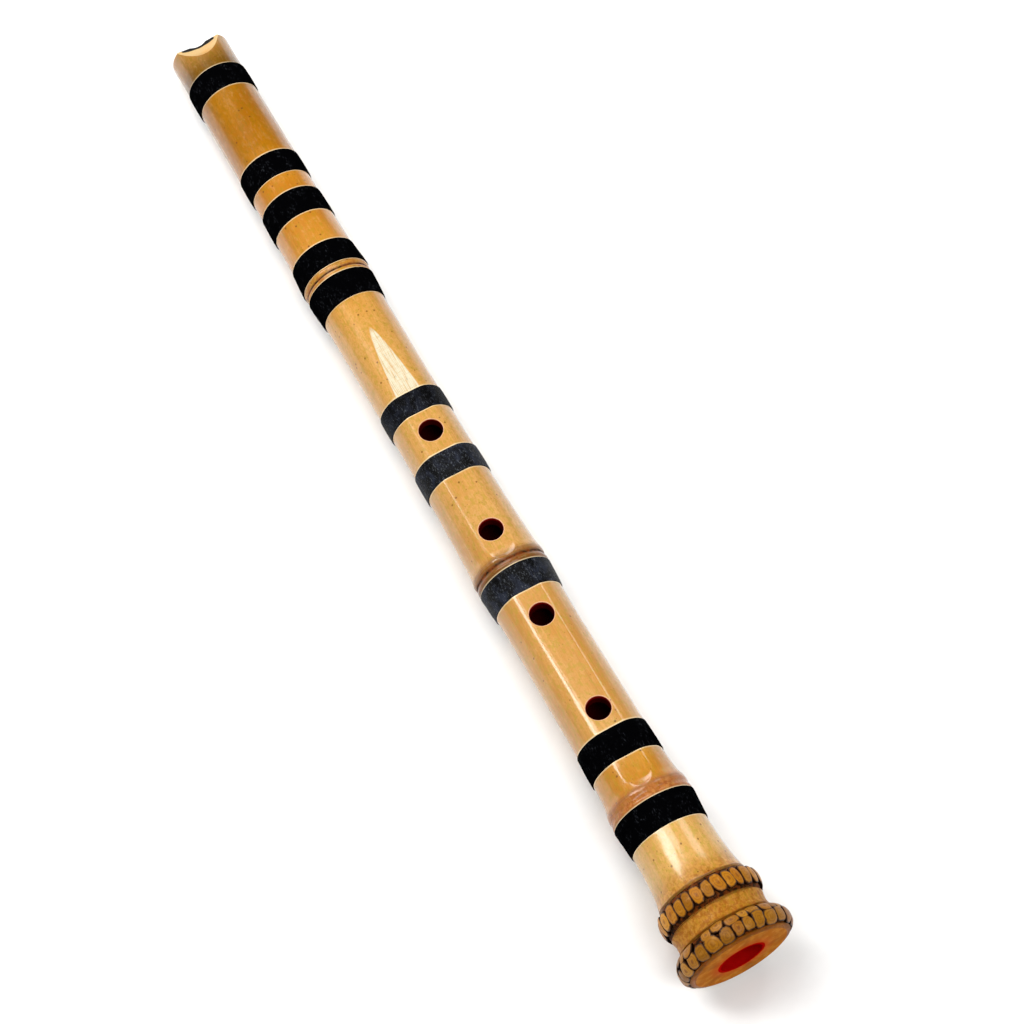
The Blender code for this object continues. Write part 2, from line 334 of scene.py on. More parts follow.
def grid_points(stations, radii, around):
    """Points of rows of stations and radii, each row going round the bore."""
    around = np.broadcast_to(around, radii.shape)
    stations = np.broadcast_to(stations, radii.shape)
    return np.stack((stations, radii * np.sin(around), radii * np.cos(around)), -1)


def grid_faces(rows, count):
    """Quads of a grid that closes on itself both ways, as an array (rows, count, 4)."""
    i = np.arange(rows)[:, None]
    j = np.arange(count)[None, :]
    after, beside = (i + 1) % rows, (j + 1) % count
    return np.stack((i * count + j, after * count + j, after * count + beside,
                     i * count + beside), -1)


def turned(name, loop, count, materials, wave=None):
    """Closed body turned about the bore from a loop of (station, radius)."""
    loop = np.asarray(loop, float)
    around = angles(count)
    radii = np.repeat(loop[:, 1][:, None], count, 1)
    if wave is not None:
        radii = radii + wave(loop[:, 0][:, None], around[None, :])
    points = grid_points(loop[:, 0][:, None], radii, around).reshape(-1, 3)
    faces = grid_faces(len(loop), count).reshape(-1, 4)
    return finish_mesh(make_mesh(name, points, faces), materials)


# ---- tubes with holes
class Tube:
    """A tube with an outer and an inner skin, round-edged holes and closed ends.

    Rows of points go round the bore: the outer skin's from the mouth to the root, then the
    root end's face, then the inner skin's back to the mouth. A face's kind is its material.
    """

    def __init__(self, outer_rows, inner_rows, outer, inner, around, end_face=(), cut_to=-1.0,
                 spread=None):
        self.outer_rows, self.inner_rows = outer_rows, inner_rows
        self.outer, self.inner = outer, inner
        self.around = around
        count = len(around)
        outside = grid_points(outer_rows[:, None], outer(outer_rows[:, None], around), around)
        face = np.array(end_face, float).reshape(-1, 2)
        face = grid_points(face[:, :1], np.repeat(face[:, 1:], count, 1), around)
        back = inner_rows[::-1, None]
        turned_by = spread(back) if spread is not None else 0.0 * back
        inner_around = around + turned_by * np.sin(2.0 * around)
        inside = grid_points(back, inner(back, inner_around), inner_around)
        self.points = [block.reshape(-1, 3) for block in (outside, face, inside)]
        self.rows = len(outer_rows) + len(end_face) + len(inner_rows)
        self.total = self.rows * count
        self.faces = grid_faces(self.rows, count)
        self.kinds = np.zeros(self.faces.shape[:2], int)
        self.kinds[len(outer_rows) - 1:] = 1
        self.kinds[:int(np.sum(outer_rows < cut_to))] = 1
        self.kept = np.ones(self.faces.shape[:2], bool)
        self.extra, self.extra_kinds = [], []

    def height(self, skin, s, y, side):
        """Height of a skin over the point (s, y), on the front or the back."""
        radius = np.full_like(s, START_RADIUS)
        for _ in range(6):
            angle = np.arcsin(np.clip(y / radius, -1.0, 1.0))
            angle = angle if side > 0 else math.pi - angle
            radius = skin(s, angle)
        return side * np.sqrt(np.maximum(radius * radius - y * y, 0.0))

    def border(self, first, last, columns, base):
        """Point numbers round a block of a skin, in order; base gives a row's number."""
        count = len(self.around)
        top = [(first, c) for c in columns[:-1]]
        right = [(r, columns[-1]) for r in range(first, last)]
        bottom = [(last, c) for c in columns[:0:-1]]
        left = [(r, columns[0]) for r in range(last, first, -1)]
        loop = top + right + bottom + left
        return np.array([base(r) * count + c % count for r, c in loop])

    def block(self, station, reach, side):
        """Outer rows, inner rows and columns of the mesh that a hole replaces."""
        rows = self.outer_rows
        outer = [int(np.searchsorted(rows, station + off)) for off in (-reach, reach)]
        inner = [int(np.argmin(np.abs(self.inner_rows - rows[row]))) for row in outer]
        wide = math.asin(reach / float(self.outer(np.array(station), np.array(0.0))))
        middle = 0.0 if side > 0 else math.pi
        away = np.abs(np.angle(np.exp(1j * (self.around - middle))))
        centre, half = int(np.argmin(away)), int(np.sum(away < wide) // 2)
        return outer, inner, list(range(centre - half, centre + half + 1))

    def hole_rings(self, station, radius, side, edge, edge_in):
        """Rings of points over a hole's edge and down its wall, between two mesh borders."""
        ahead, across = edge[:, 0] - station, edge[:, 1]
        turn = np.arctan2(across, ahead)
        cos, sin = np.cos(turn), np.sin(turn)
        rings = []

        def ring(s, y, z):
            rings.append(np.stack((s, y, z), -1))

        lip = radius + HOLE_ROUND
        for share in HOLE_BLEND:
            s = station + lip * cos + (ahead - lip * cos) * share
            y = lip * sin + (across - lip * sin) * share
            ring(s, y, self.height(self.outer, s, y, side))
        top = rings[-1][:, 2]
        for degrees in HOLE_EDGE:
            a = math.radians(degrees)
            r = lip - HOLE_ROUND * math.sin(a)
            ring(station + r * cos, r * sin, top - side * HOLE_ROUND * (1.0 - math.cos(a)))
        s, y, start = rings[-1].T
        foot = self.height(self.inner, s, y, side)
        for share in HOLE_WALL:
            ring(s, y, start + (foot - start) * share)
        for share in HOLE_INSIDE:
            s2, y2 = s + (edge_in[:, 0] - s) * share, y + (edge_in[:, 1] - y) * share
            ring(s2, y2, self.height(self.inner, s2, y2, side))
        return rings

    def hole(self, station, radius, side, kinds, margin=HOLE_MARGIN):
        """Cut a round-edged hole through both skins; kinds are its edge and its wall."""
        outer, inner, columns = self.block(station, radius + margin, side)
        final = self.rows - 1
        wrapped = [column % len(self.around) for column in columns[:-1]]
        for row in [*range(*outer), *range(final - inner[1], final - inner[0])]:
            self.kept[row, wrapped] = False
        outside = self.border(*outer, columns, lambda row: row)
        inside = self.border(*inner, columns, lambda row: final - row)
        stacked = np.concatenate(self.points)
        numbers = [outside]
        for points in self.hole_rings(station, radius, side, stacked[outside], stacked[inside]):
            numbers.append(np.arange(len(points)) + self.total)
            self.points.append(points)
            self.total += len(points)
        numbers.append(inside)
        edge, wall = kinds
        labels = ([0] * len(HOLE_BLEND) + [edge] * len(HOLE_EDGE) + [wall] * len(HOLE_WALL)
                  + [1] * (len(HOLE_INSIDE) + 1))
        for a, b, kind in zip(numbers, numbers[1:], labels):
            self.extra.append(np.stack((a, np.roll(a, -1), np.roll(b, -1), b), -1))
            self.extra_kinds.append(np.full(len(a), kind))

    def build(self, name):
        """Object of the tube with its holes."""
        faces = [self.faces[self.kept]] + self.extra
        kinds = [self.kinds[self.kept]] + self.extra_kinds
        return make_mesh(name, np.concatenate(self.points), np.concatenate(faces),
                         np.concatenate(kinds))


def culm_rows(start, end):
    """Stations of a culm's rows: even, and closer at nodes, binding edges and the root."""
    rows = list(np.arange(start, end, ROW)) + [end]
    for groove in NODE_GROOVES:
        rows += list(np.arange(groove - 5.0, groove + 6.0, NODE_ROW))
    rows += list(np.arange(ROOT_START, LENGTH, ROOT_ROW))
    edges = [edge for _, first, last in BANDS for edge in (first - SEAM, last + SEAM)]
    for _, first, last in BANDS:
        for off in LIP_ROWS:
            rows += [first - SEAM - off, last + SEAM + off]
    rows = np.unique(np.round([r for r in rows if start <= r <= end], 3))
    keep = [rows[0]]
    for row in rows[1:]:
        at_lip = min(abs(row - edge) for edge in edges) < LIP + 0.05
        if row - keep[-1] > (0.005 if at_lip else 0.12):
            keep.append(row)
    keep[-1] = end
    return np.array(keep)


def sparse_rows(rows, step):
    """Every row that passes by a hole, and one in a number of the others."""
    reach = FINGER_HOLE_RADIUS + HOLE_MARGIN + 1.5
    by_hole = [any(abs(row - hole) < reach for hole in FINGER_HOLES + THUMB_HOLES) for row in rows]
    return rows[by_hole | (np.arange(len(rows)) % step == 0)]


# ---- node helpers
def srgb(red, green, blue):
    """Linear colour, with alpha, of an 8-bit screen colour."""
    def linear(v):
        v /= 255.0
        return v / 12.92 if v <= 0.04045 else ((v + 0.055) / 1.055) ** 2.4
    return (linear(red), linear(green), linear(blue), 1.0)


class Nodes:
    """A node tree, built by short calls whose arguments are numbers, colours or sockets."""

    def __init__(self, tree):
        self.tree = tree

    def node(self, kind, values=(), **settings):
        """New node with its settings, and values for its inputs by name or number."""
        node = self.tree.nodes.new("ShaderNode" + kind)
        for key, setting in settings.items():
            setattr(node, key, setting)
        for key, value in dict(values).items():
            self.link(value, node.inputs[key])
        return node

    def link(self, source, target):
        """Join a socket to an input, or set the input to a value."""
        if hasattr(source, "links"):
            self.tree.links.new(source, target)
        else:
            target.default_value = source

    def math(self, operation, a, b=0.0, clamp=False):
        """Result of a sum on two numbers."""
        return self.node("Math", {0: a, 1: b}, operation=operation, use_clamp=clamp).outputs[0]

    def times(self, *factors, clamp=False):
        """Product of numbers."""
        product = factors[0]
        for factor in factors[1:]:
            product = self.math("MULTIPLY", product, factor, clamp)
        return product

    def plus(self, a, b, clamp=False):
        """Sum of two numbers."""
        return self.math("ADD", a, b, clamp)

    def span(self, value, low, high, out_low=0.0, out_high=1.0, curve="SMOOTHSTEP"):
        """Map a value from one range to another, held at both ends."""
        inputs = {"Value": value, "From Min": low, "From Max": high, "To Min": out_low,
                  "To Max": out_high}
        return self.node("MapRange", inputs, interpolation_type=curve).outputs["Result"]


class Shader(Nodes):
    """A material's node tree. Its textures are placed in metres along the flute's axes."""

    def __init__(self, name):
        self.material = bpy.data.materials.new(name)
        self.material.use_nodes = True
        super().__init__(self.material.node_tree)
        self.bsdf = self.tree.nodes["Principled BSDF"]
        self.place = self.node("TexCoord").outputs["Object"]

    def stretched(self, x, y, z):
        """Place times a scale along each axis."""
        return self.node("Mapping", {"Scale": (x, y, z), "Vector": self.place}).outputs["Vector"]

    def noise(self, scale, detail=2.0, rough=0.5, vector=None, distortion=0.0):
        """Smooth random value of about 0.5."""
        values = {"Scale": scale, "Detail": detail, "Roughness": rough,
                  "Distortion": distortion, "Vector": vector or self.place}
        return self.node("TexNoise", values).outputs["Fac"]

    def streaks(self, along, across, detail, rough, distortion=0.0):
        """Noise drawn out along the flute or across it, from its scales both ways."""
        return self.noise(1.0, detail, rough, self.stretched(along, across, across), distortion)

    def cells(self, scale, output="Distance"):
        """Distance to the nearest of scattered points, or that point's random colour."""
        return self.node("TexVoronoi", {"Scale": scale, "Vector": self.place}).outputs[output]

    def dots(self, scale, edge, share):
        """Dots with a soft edge, at the middles of a share of the cells."""
        return self.times(self.span(self.cells(scale), *edge, 1.0, 0.0),
                          self.span(self.cells(scale, "Color"), *share))

    def mix(self, share, a, b, mode="MIX"):
        """Colour a, turned into colour b by a share."""
        values = {0: share, 6: a, 7: b}
        return self.node("Mix", values, data_type="RGBA", blend_type=mode).outputs[2]

    def ramp(self, value, stops):
        """Colour of a value, from (value, colour) stops."""
        node = self.node("ValToRGB", {"Fac": value})
        elements = node.color_ramp.elements
        while len(elements) < len(stops):
            elements.new(0.5)
        for element, (place, colour) in zip(elements, stops):
            element.position = place
            element.color = colour
        return node.outputs["Color"]

    def attribute(self, name):
        """Value that the mesh holds at each point."""
        return self.node("Attribute", attribute_name=name).outputs["Fac"]

    def axis(self, letter):
        """Coordinate along one axis."""
        return self.node("SeparateXYZ", {0: self.place}).outputs[letter]

    def station(self):
        """Share of the flute's length, 0 at the mouth and 1 at the root."""
        return self.span(self.axis("X"), MOUTH * MM, (MOUTH + LENGTH) * MM, curve="LINEAR")

    def along(self, stops):
        """Colour along the flute from (station, screen colour) pairs."""
        return self.ramp(self.station(), [(s / LENGTH, srgb(*c)) for s, c in stops])

    def bump(self, height, distance, strength):
        """Normal of a surface that rises with a height."""
        values = {"Distance": distance, "Strength": strength, "Height": height}
        return self.node("Bump", values).outputs["Normal"]

    def finish(self, **inputs):
        """The material, with its surface's inputs set."""
        for key, value in inputs.items():
            self.link(value, self.bsdf.inputs[key.replace("_", " ")])
        return self.material


# ---- materials
def bamboo_tint(m, base, fibre):
    """Colour of the skin: blotches, grain, olive patches and fine fibres over a base, with painted
    shade darkening its sides.
    """
    deep = m.mix(1.0, base, srgb(232, 212, 170), "MULTIPLY")
    light = m.mix(0.3, base, srgb(250, 222, 160))
    olive = m.mix(1.0, base, srgb(222, 238, 176), "MULTIPLY")
    blotch = m.noise(38.0, 3.0, 0.55, m.stretched(0.45, 1.0, 1.0), 0.4)
    patch = m.noise(430.0, 3.0, 0.6, m.stretched(0.5, 1.0, 1.0))
    grain = m.noise(1500.0, 3.0, 0.7, m.stretched(0.6, 1.0, 1.0))
    hue = m.noise(620.0, 2.0, 0.6, m.stretched(0.7, 1.0, 1.0))
    colour = m.mix(m.span(blotch, 0.4, 0.7, 0.0, 0.75), base, deep)
    colour = m.mix(m.span(patch, 0.45, 0.75, 0.0, 0.25), colour, light)
    colour = m.mix(m.span(grain, 0.42, 0.66, 0.0, 0.45), colour, deep)
    colour = m.mix(m.span(hue, 0.46, 0.66, 0.0, 0.7), colour, olive)
    tone = m.plus(m.times(fibre, 0.4), 0.82)
    # Painted shade: the culm's sides are darkened, as where they turn away from the light.
    tone = m.math("SUBTRACT", tone, m.times(m.attribute("side"), 0.17))
    return m.mix(1.0, colour, tone, "MULTIPLY")


def bamboo_material():
    """Aged, lacquer-polished bamboo skin."""
    m = Shader("bamboo_skin")
    base = m.along((
        (0.0, (176, 130, 72)), (9.0, (160, 112, 48)), (18.0, (114, 76, 6)), (30.0, (112, 74, 4)),
        (32.0, (156, 100, 3)), (75.0, (161, 103, 3)), (95.0, (187, 122, 22)),
        (150.0, (197, 138, 52)), (200.0, (197, 145, 72)), (300.0, (197, 147, 80)),
        (331.0, (197, 147, 80)), (333.5, (156, 108, 54)), (341.0, (98, 64, 26)),
        (343.0, (201, 150, 82)), (430.0, (202, 151, 82)), (450.0, (194, 136, 42)),
        (459.5, (192, 132, 40)), (462.5, (182, 118, 64)), (470.0, (186, 120, 64)),
        (473.0, (214, 168, 98)), (500.0, (208, 160, 86)), (512.0, (184, 128, 50)),
        (530.0, (180, 124, 46)), (534.0, (150, 92, 16)), (545.0, (146, 86, 10))))
    fibre = m.streaks(22.0, 1500.0, 3.0, 0.65)
    colour = bamboo_tint(m, base, fibre)
    dot = m.math("MAXIMUM", m.dots(240.0, (0.1, 0.15), (0.45, 0.5)),
                 m.times(m.dots(640.0, (0.13, 0.2), (0.66, 0.72)), 0.6))
    colour = m.mix(m.times(dot, 0.75), colour, srgb(100, 54, 14))
    # Painted highlight: pale streaky cream over the start of the first flat, where it runs in, as
    # where it catches the light.
    planed = m.times(m.span(m.streaks(30.0, 2600.0, 3.0, 0.7), 0.36, 0.56, 0.3, 1.0),
                     m.span(m.streaks(2400.0, 160.0, 2.0, 0.6), 0.3, 0.5, 0.65, 1.0),
                     m.attribute("planed"))
    colour = m.mix(planed, colour, srgb(214, 207, 180))
    uneven = m.plus(0.55, m.times(m.noise(420.0, 3.0, 0.6), 0.9))
    # Dark stain at the node grooves, with painted shade in the crevices between the root stubs and
    # a darker band round the root end's shoulder.
    dirt_and_shade = m.times(m.attribute("stain"), uneven, clamp=True)
    colour = m.mix(dirt_and_shade, colour, srgb(32, 15, 5))
    blush_and_sheen = m.attribute("blush")
    blush = m.times(blush_and_sheen, m.span(m.noise(500.0, 4.0, 0.7), 0.44, 0.6))
    colour = m.mix(blush, colour, srgb(132, 62, 14))
    # Painted highlight: a thin pale line on the bamboo's lip beside each binding.
    colour = m.mix(m.times(m.attribute("lip"), 0.8), colour, srgb(250, 226, 178))
    height = m.plus(m.times(fibre, 0.6), m.times(m.streaks(60.0, 4200.0, 2.0, 0.6), 0.25))
    height = m.plus(height, m.times(dirt_and_shade, -1.2))
    height = m.math("SUBTRACT", height, m.times(dot, 0.8))
    rough = m.span(m.noise(90.0, 3.0), 0.3, 0.7, 0.22, 0.27)
    rough = m.plus(rough, m.times(dirt_and_shade, 0.4), clamp=True)
    dull = m.math("MAXIMUM", dirt_and_shade, m.math("MAXIMUM", blush_and_sheen, m.span(m.station(), 0.93, 0.95)))
    polish = m.math("SUBTRACT", 1.0, m.times(dull, 0.95), clamp=True)
    return m.finish(Base_Color=colour, Roughness=rough, Normal=m.bump(height, 0.00002, 0.7),
                    Coat_Weight=m.times(polish, 0.35), Coat_Roughness=0.06,
                    Specular_IOR_Level=m.times(polish, 0.45))


def cut_material():
    """Cut and polished bamboo: cream at the mouth and joint, amber at the root."""
    m = Shader("cut_bamboo")
    base = m.along((
        (0.0, (196, 166, 112)), (8.0, (194, 160, 104)), (13.0, (168, 118, 40)),
        (200.0, (222, 172, 136)), (480.0, (222, 168, 130)), (535.0, (170, 98, 2)),
        (545.0, (166, 92, 0))))
    pore = m.span(m.cells(1500.0), 0.12, 0.34, 1.0, 0.0)
    cloud = m.noise(260.0, 3.0, 0.6)
    colour = m.mix(m.times(pore, 0.4), base, srgb(150, 92, 34))
    colour = m.mix(m.span(cloud, 0.4, 0.7, 0.0, 0.35), colour, srgb(214, 150, 60))
    # The same stain and painted shade, where the cut faces reach them.
    dirt_and_shade = m.times(m.attribute("stain"), m.plus(0.5, m.noise(520.0, 3.0)), clamp=True)
    colour = m.mix(dirt_and_shade, colour, srgb(74, 34, 10))
    colour = m.mix(m.attribute("warm"), colour, srgb(176, 56, 2))
    normal = m.bump(m.plus(m.times(pore, -0.6), cloud), 0.00003, 0.5)
    gloss = m.span(m.station(), 0.95, 0.99, 0.15, 0.01)
    return m.finish(Base_Color=colour, Roughness=0.5, Normal=normal, Specular_IOR_Level=gloss)


def lacquer_material():
    """Deep red urushi lacquer of the bore and of the hole walls."""
    m = Shader("red_urushi")
    cloud = m.noise(220.0, 3.0, 0.6)
    colour = m.mix(m.span(cloud, 0.35, 0.7), srgb(160, 6, 5), srgb(146, 5, 4))
    streak = m.streaks(40.0, 900.0, 2.0, 0.5)
    normal = m.bump(m.plus(cloud, m.times(streak, 0.4)), 0.00005, 0.35)
    along = m.station()
    # Painted shade: the bore is darkened deep inside, away from the holes, and less so towards the
    # root end.
    deep = m.span(m.math("ABSOLUTE", m.axis("Z")), 0.0125, 0.0142, 0.85, 0.1)
    deep = m.times(deep, m.span(along, 0.9, 0.98, 1.0, 0.0))
    colour = m.mix(deep, colour, srgb(30, 1, 1))
    gloss = m.span(along, 0.96, 0.99, 0.04, 0.0)
    return m.finish(Base_Color=colour, Roughness=0.34, Normal=normal, Specular_IOR_Level=gloss)


def horn_material():
    """Polished dark water-buffalo horn."""
    m = Shader("dark_horn")
    streak = m.noise(1.0, 4.0, 0.6, m.stretched(1400.0, 120.0, 1400.0))
    colour = m.mix(m.span(streak, 0.5, 0.75), srgb(5, 4, 4), srgb(24, 18, 12))
    return m.finish(Base_Color=colour, Roughness=m.span(streak, 0.3, 0.7, 0.3, 0.45),
                    Normal=m.bump(streak, 0.00001, 0.4), Specular_IOR_Level=0.02)


def thread_material():
    """Black lacquered thread: twisted fibres, with a painted blue-grey sheen and painted glints on
    the middle bindings.
    """
    m = Shader("black_thread")
    twist = m.streaks(3800.0, 700.0, 2.0, 0.5, 0.3)
    bloom = m.noise(210.0, 3.0, 0.62, m.stretched(0.7, 1.0, 1.0), 0.6)
    along = m.station()
    # Painted sheen: a mottled blue-grey on the middle bindings, as where they reflect a bright
    # room.
    blush_and_sheen = m.times(m.span(along, 0.36, 0.53), m.span(along, 0.7, 0.8, 1.0, 0.0))
    painted_sheen = m.times(m.span(bloom, 0.42, 0.68), blush_and_sheen)
    colour = m.mix(painted_sheen, srgb(3, 3, 4), srgb(36, 40, 52))
    # Painted glints: fine pale ticks along the threads.
    glint_streaks = m.streaks(700.0, 1700.0, 2.0, 0.6)
    painted_glints = m.times(m.span(bloom, 0.46, 0.6), 0.3)
    painted_glints = m.times(m.span(glint_streaks, 0.56, 0.68), m.plus(painted_glints, blush_and_sheen))
    colour = m.mix(m.times(painted_glints, 0.8), colour, srgb(80, 84, 90))
    rough = m.span(bloom, 0.35, 0.7, 0.38, 0.58)
    return m.finish(Base_Color=colour, Roughness=rough, Specular_IOR_Level=m.times(blush_and_sheen, 0.1),
                    Normal=m.bump(twist, 0.00004, 0.8))


def stub_material():
    """Cut faces of root stubs: ringed ochre with a brown edge, and painted shade down their sides.
    """
    m = Shader("root_stub")
    rho = m.attribute("rho")
    chance = m.node("NewGeometry").outputs["Random Per Island"]
    base = m.ramp(chance, ((0.0, srgb(140, 86, 4)), (0.35, srgb(178, 116, 16)),
                           (0.7, srgb(158, 94, 6)), (1.0, srgb(196, 134, 34))))
    wobble = m.noise(700.0, 3.0, 0.6)
    ringed = m.plus(rho, m.times(wobble, 0.35))
    wave = m.math("SINE", m.times(ringed, 21.0))
    colour = m.mix(m.span(wave, 0.1, 1.0, 0.0, 0.36), base, srgb(96, 50, 8))
    pith = m.times(m.span(rho, 0.1, 0.24, 1.0, 0.0), m.span(chance, 0.35, 0.5))
    colour = m.mix(m.times(pith, 0.65), colour, srgb(112, 54, 12))
    patch = m.noise(330.0, 3.0, 0.6)
    colour = m.mix(m.span(patch, 0.52, 0.72, 0.0, 0.45), colour, srgb(196, 138, 56))
    colour = m.mix(m.span(ringed, 0.9, 1.08), colour, srgb(44, 20, 6))
    # Painted shade: near black down the stubs' sides, into the crevices between them.
    colour = m.mix(m.span(rho, 0.97, 1.08), colour, srgb(14, 7, 3))
    colour = m.mix(1.0, colour, m.span(m.station(), 0.955, 0.985, 1.0, 0.74), "MULTIPLY")
    height = m.plus(m.times(wave, 0.3), patch)
    return m.finish(Base_Color=colour, Roughness=m.span(rho, 0.8, 1.2, 0.4, 0.7),
                    Normal=m.bump(height, 0.00008, 0.6),
                    Specular_IOR_Level=m.span(rho, 0.85, 1.0, 0.16, 0.0))


def tenon_material():
    """Dark brown lacquer of the tenon, polished by use."""
    m = Shader("tenon_lacquer")
    rub = m.streaks(2600.0, 90.0, 3.0, 0.6)
    colour = m.mix(m.span(rub, 0.45, 0.75), srgb(44, 16, 9), srgb(92, 38, 18))
    return m.finish(Base_Color=colour, Roughness=m.span(rub, 0.3, 0.7, 0.34, 0.5),
                    Normal=m.bump(rub, 0.00003, 0.4), Specular_IOR_Level=0.2)


def floor_material():
    """Matt pale paper, which only the camera sees glow far away."""
    m = Shader("pale_floor")
    grain = m.noise(240.0, 3.0)
    colour = m.mix(grain, srgb(246, 246, 245), srgb(250, 250, 249))
    away = m.node("VectorMath", {0: m.place}, operation="LENGTH").outputs["Value"]
    glow = m.times(m.span(away, 0.8, 3.0, 0.0, 0.5),
                   m.node("LightPath").outputs["Is Camera Ray"])
    return m.finish(Base_Color=colour, Roughness=0.9, Specular_IOR_Level=0.1,
                    Normal=m.bump(grain, 0.0001, 0.2), Emission_Color=(1.0, 1.0, 1.0, 1.0),
                    Emission_Strength=glow)


# ---- surface marks, painted shade and painted highlights
def bell(values, centre, wide):
    """Smooth bump of height one."""
    return np.exp(-(((values - centre) / wide) ** 2))


def write_values(item, **layers):
    """Give a mesh named values at its points, for its material to read."""
    for name, values in layers.items():
        layer = item.data.attributes.new(name, "FLOAT", "POINT")
        layer.data.foreach_set("value", values.astype(np.float32))


def mark(item):
    """Write the bamboo's marks, painted shade and painted highlights at each point, from its place
    on the flute.
    """
    s, y, z = points_of(item.data)
    radius = np.hypot(y, z)
    angle = np.arctan2(y, z)
    wander = 0.25 * np.sin(angle * 5.0) + 0.2 * np.sin(angle * 11.0 + 1.0)
    stain = np.zeros(len(s))
    blush = np.zeros(len(s))
    for groove, dark, wide in zip(NODE_GROOVES, (1.0, 1.0, 0.1), (0.75, 1.0, 0.5)):
        stain = np.maximum(stain, dark * bell(s, groove + wander * 0.3, wide))
        stain = np.maximum(stain, 0.25 * bell(s, groove - 2.8 + wander, 0.8))
        blush = np.maximum(blush, 0.6 * bell(s, groove + 0.8, 3.6))
    # Painted shade in the crevices between the root stubs and along the edges of each ring of
    # them.
    for first, last in ROOT_RINGS:
        inside = held(np.minimum(s - first - 0.6, last - 0.6 - s) / 0.6)
        stain = np.maximum(stain, inside)
        stain = np.maximum(stain, 0.5 * bell(s, first + 0.3 + wander, 0.5))
        stain = np.maximum(stain, 0.5 * bell(s, last - 0.2 + wander, 0.5))
    # A darker band round the root end's shoulder, uneven round the bore.
    shoulder_band = bell(s, 543.2, 1.2) * held(0.3 + 0.7 * np.sin(angle * 3.0 + 0.6))
    stain = np.maximum(stain, 0.8 * shoulder_band)
    blush = np.maximum(blush, 0.55 * held((s - 500.0) / 12.0))
    # Painted highlight along the bamboo's lip at each binding's edges.
    lip = np.zeros(len(s))
    for _, first, last in BANDS:
        off = np.maximum(first - s, s - last)
        lip = np.maximum(lip, bell(off, 0.25, 0.25))
    warm = np.where(s > LENGTH - 0.6, held(1.0 - (radius - 11.3) / 4.5) * 0.75, 0.0)
    # Painted highlight over the start of the first flat, which the skin's colour reads.
    half = flat_half_width(s, *FLAT_RUNS[0][:3])
    planed = held((half - np.abs(y)) / 0.35) * (z > 0.0)
    planed *= held((s - FLAT_HIGHLIGHT[0]) / 4.0) * (s < FLAT_HIGHLIGHT[1])
    # Painted shade on the culm's sides, which the skin's colour reads.
    side = held((np.abs(angle) - 0.4) / 0.6) * (s < ROOT_START)
    write_values(item, planed=planed, side=side, stain=stain, blush=blush, warm=warm, lip=lip)


# ---- pieces
def bore_of(node, outer=False):
    """Radius of a lining, inside or outside, as a smooth function of station."""
    return smooth_curve(*profile(rings_of(node), outer))


def bevel_axes():
    """Axes of the blowing bevel: X down the slope, Y across, Z out of it."""
    edge = float(bore_of("upper_bore_lining")(0.0))
    place = Matrix.Translation(((MOUTH + EDGE_STATION) * MM, 0.0, edge * MM))
    return place @ Matrix.Rotation(-BEVEL_ANGLE, 4, "Y")


def prism(name, outline, low, high, matrix, material):
    """Closed upright prism over an outline of (x, y), in millimetres, as a cutter."""
    shape = bmesh.new()
    bottom = [shape.verts.new(Vector((x, y, low)) * MM) for x, y in outline]
    top = [shape.verts.new(Vector((x, y, high)) * MM) for x, y in outline]
    after = [*range(1, len(outline)), 0]
    for i, j in enumerate(after):
        shape.faces.new((bottom[i], bottom[j], top[j], top[i]))
    shape.faces.new(bottom[::-1])
    shape.faces.new(top)
    bmesh.ops.recalc_face_normals(shape, faces=shape.faces)
    mesh = bpy.data.meshes.new(name)
    shape.to_mesh(mesh)
    shape.free()
    mesh.materials.append(material)
    item = add_object(name, mesh)
    item.matrix_world = matrix
    return item


def bevel_tools(material):
    """Cutters for the hollow blowing bevel and for the inlay's half-moon seat."""
    across = np.linspace(-BEVEL_HALF_WIDTH, BEVEL_HALF_WIDTH, 69)
    outline = [(BEVEL_SCOOP - math.sqrt(BEVEL_SCOOP ** 2 - y * y), y) for y in across]
    outline += [(30.0, BEVEL_HALF_WIDTH), (30.0, -BEVEL_HALF_WIDTH)]
    swap_x_and_z = Matrix(((0, 0, 1, 0), (0, 1, 0, 0), (1, 0, 0, 0), (0, 0, 0, 1)))
    axes = bevel_axes()
    scoop = prism("bevel_tool", outline, -30.0, 40.0, axes @ swap_x_and_z, material)
    low = -INLAY_THICKNESS - GAP
    return scoop, prism("seat_tool", crescent(SEAM), low, TOOL_REACH, axes, material)


def crescent(extra=0.0, points=49):
    """Outline of the half-moon horn inlay on the bevel, carried on past the mouth end."""
    wide = INLAY_HALF_WIDTH + extra
    arc = []
    for i in range(points):
        a = math.pi * i / (points - 1)
        arc.append(((INLAY_REACH + extra) * math.sin(a) ** 1.3, -wide * math.cos(a)))
    return arc + [(-8.0, wide), (-8.0, -wide)]


def boolean(item, tool, operation="DIFFERENCE"):
    """Apply an exact Boolean, keeping the tool's material on the new faces."""
    modifier = item.modifiers.new(tool.name, "BOOLEAN")
    modifier.operation = operation
    modifier.solver = "EXACT"
    modifier.material_mode = "TRANSFER"
    modifier.object = tool
    bpy.context.view_layer.update()
    graph = bpy.context.evaluated_depsgraph_get()
    result = bpy.data.meshes.new_from_object(item.evaluated_get(graph), depsgraph=graph)
    item.modifiers.clear()
    item.data = result
    return item


def remove(*items):
    """Delete cutters that have done their work."""
    for item in items:
        bpy.data.objects.remove(item, do_unlink=True)


def cut_bevel(item, material):
    """Cut the blowing bevel and the inlay's seat."""
    tools = bevel_tools(material)
    for tool in tools:
        boolean(item, tool)
    remove(*tools)
    finish_mesh(item, list(item.data.materials), 30.0)


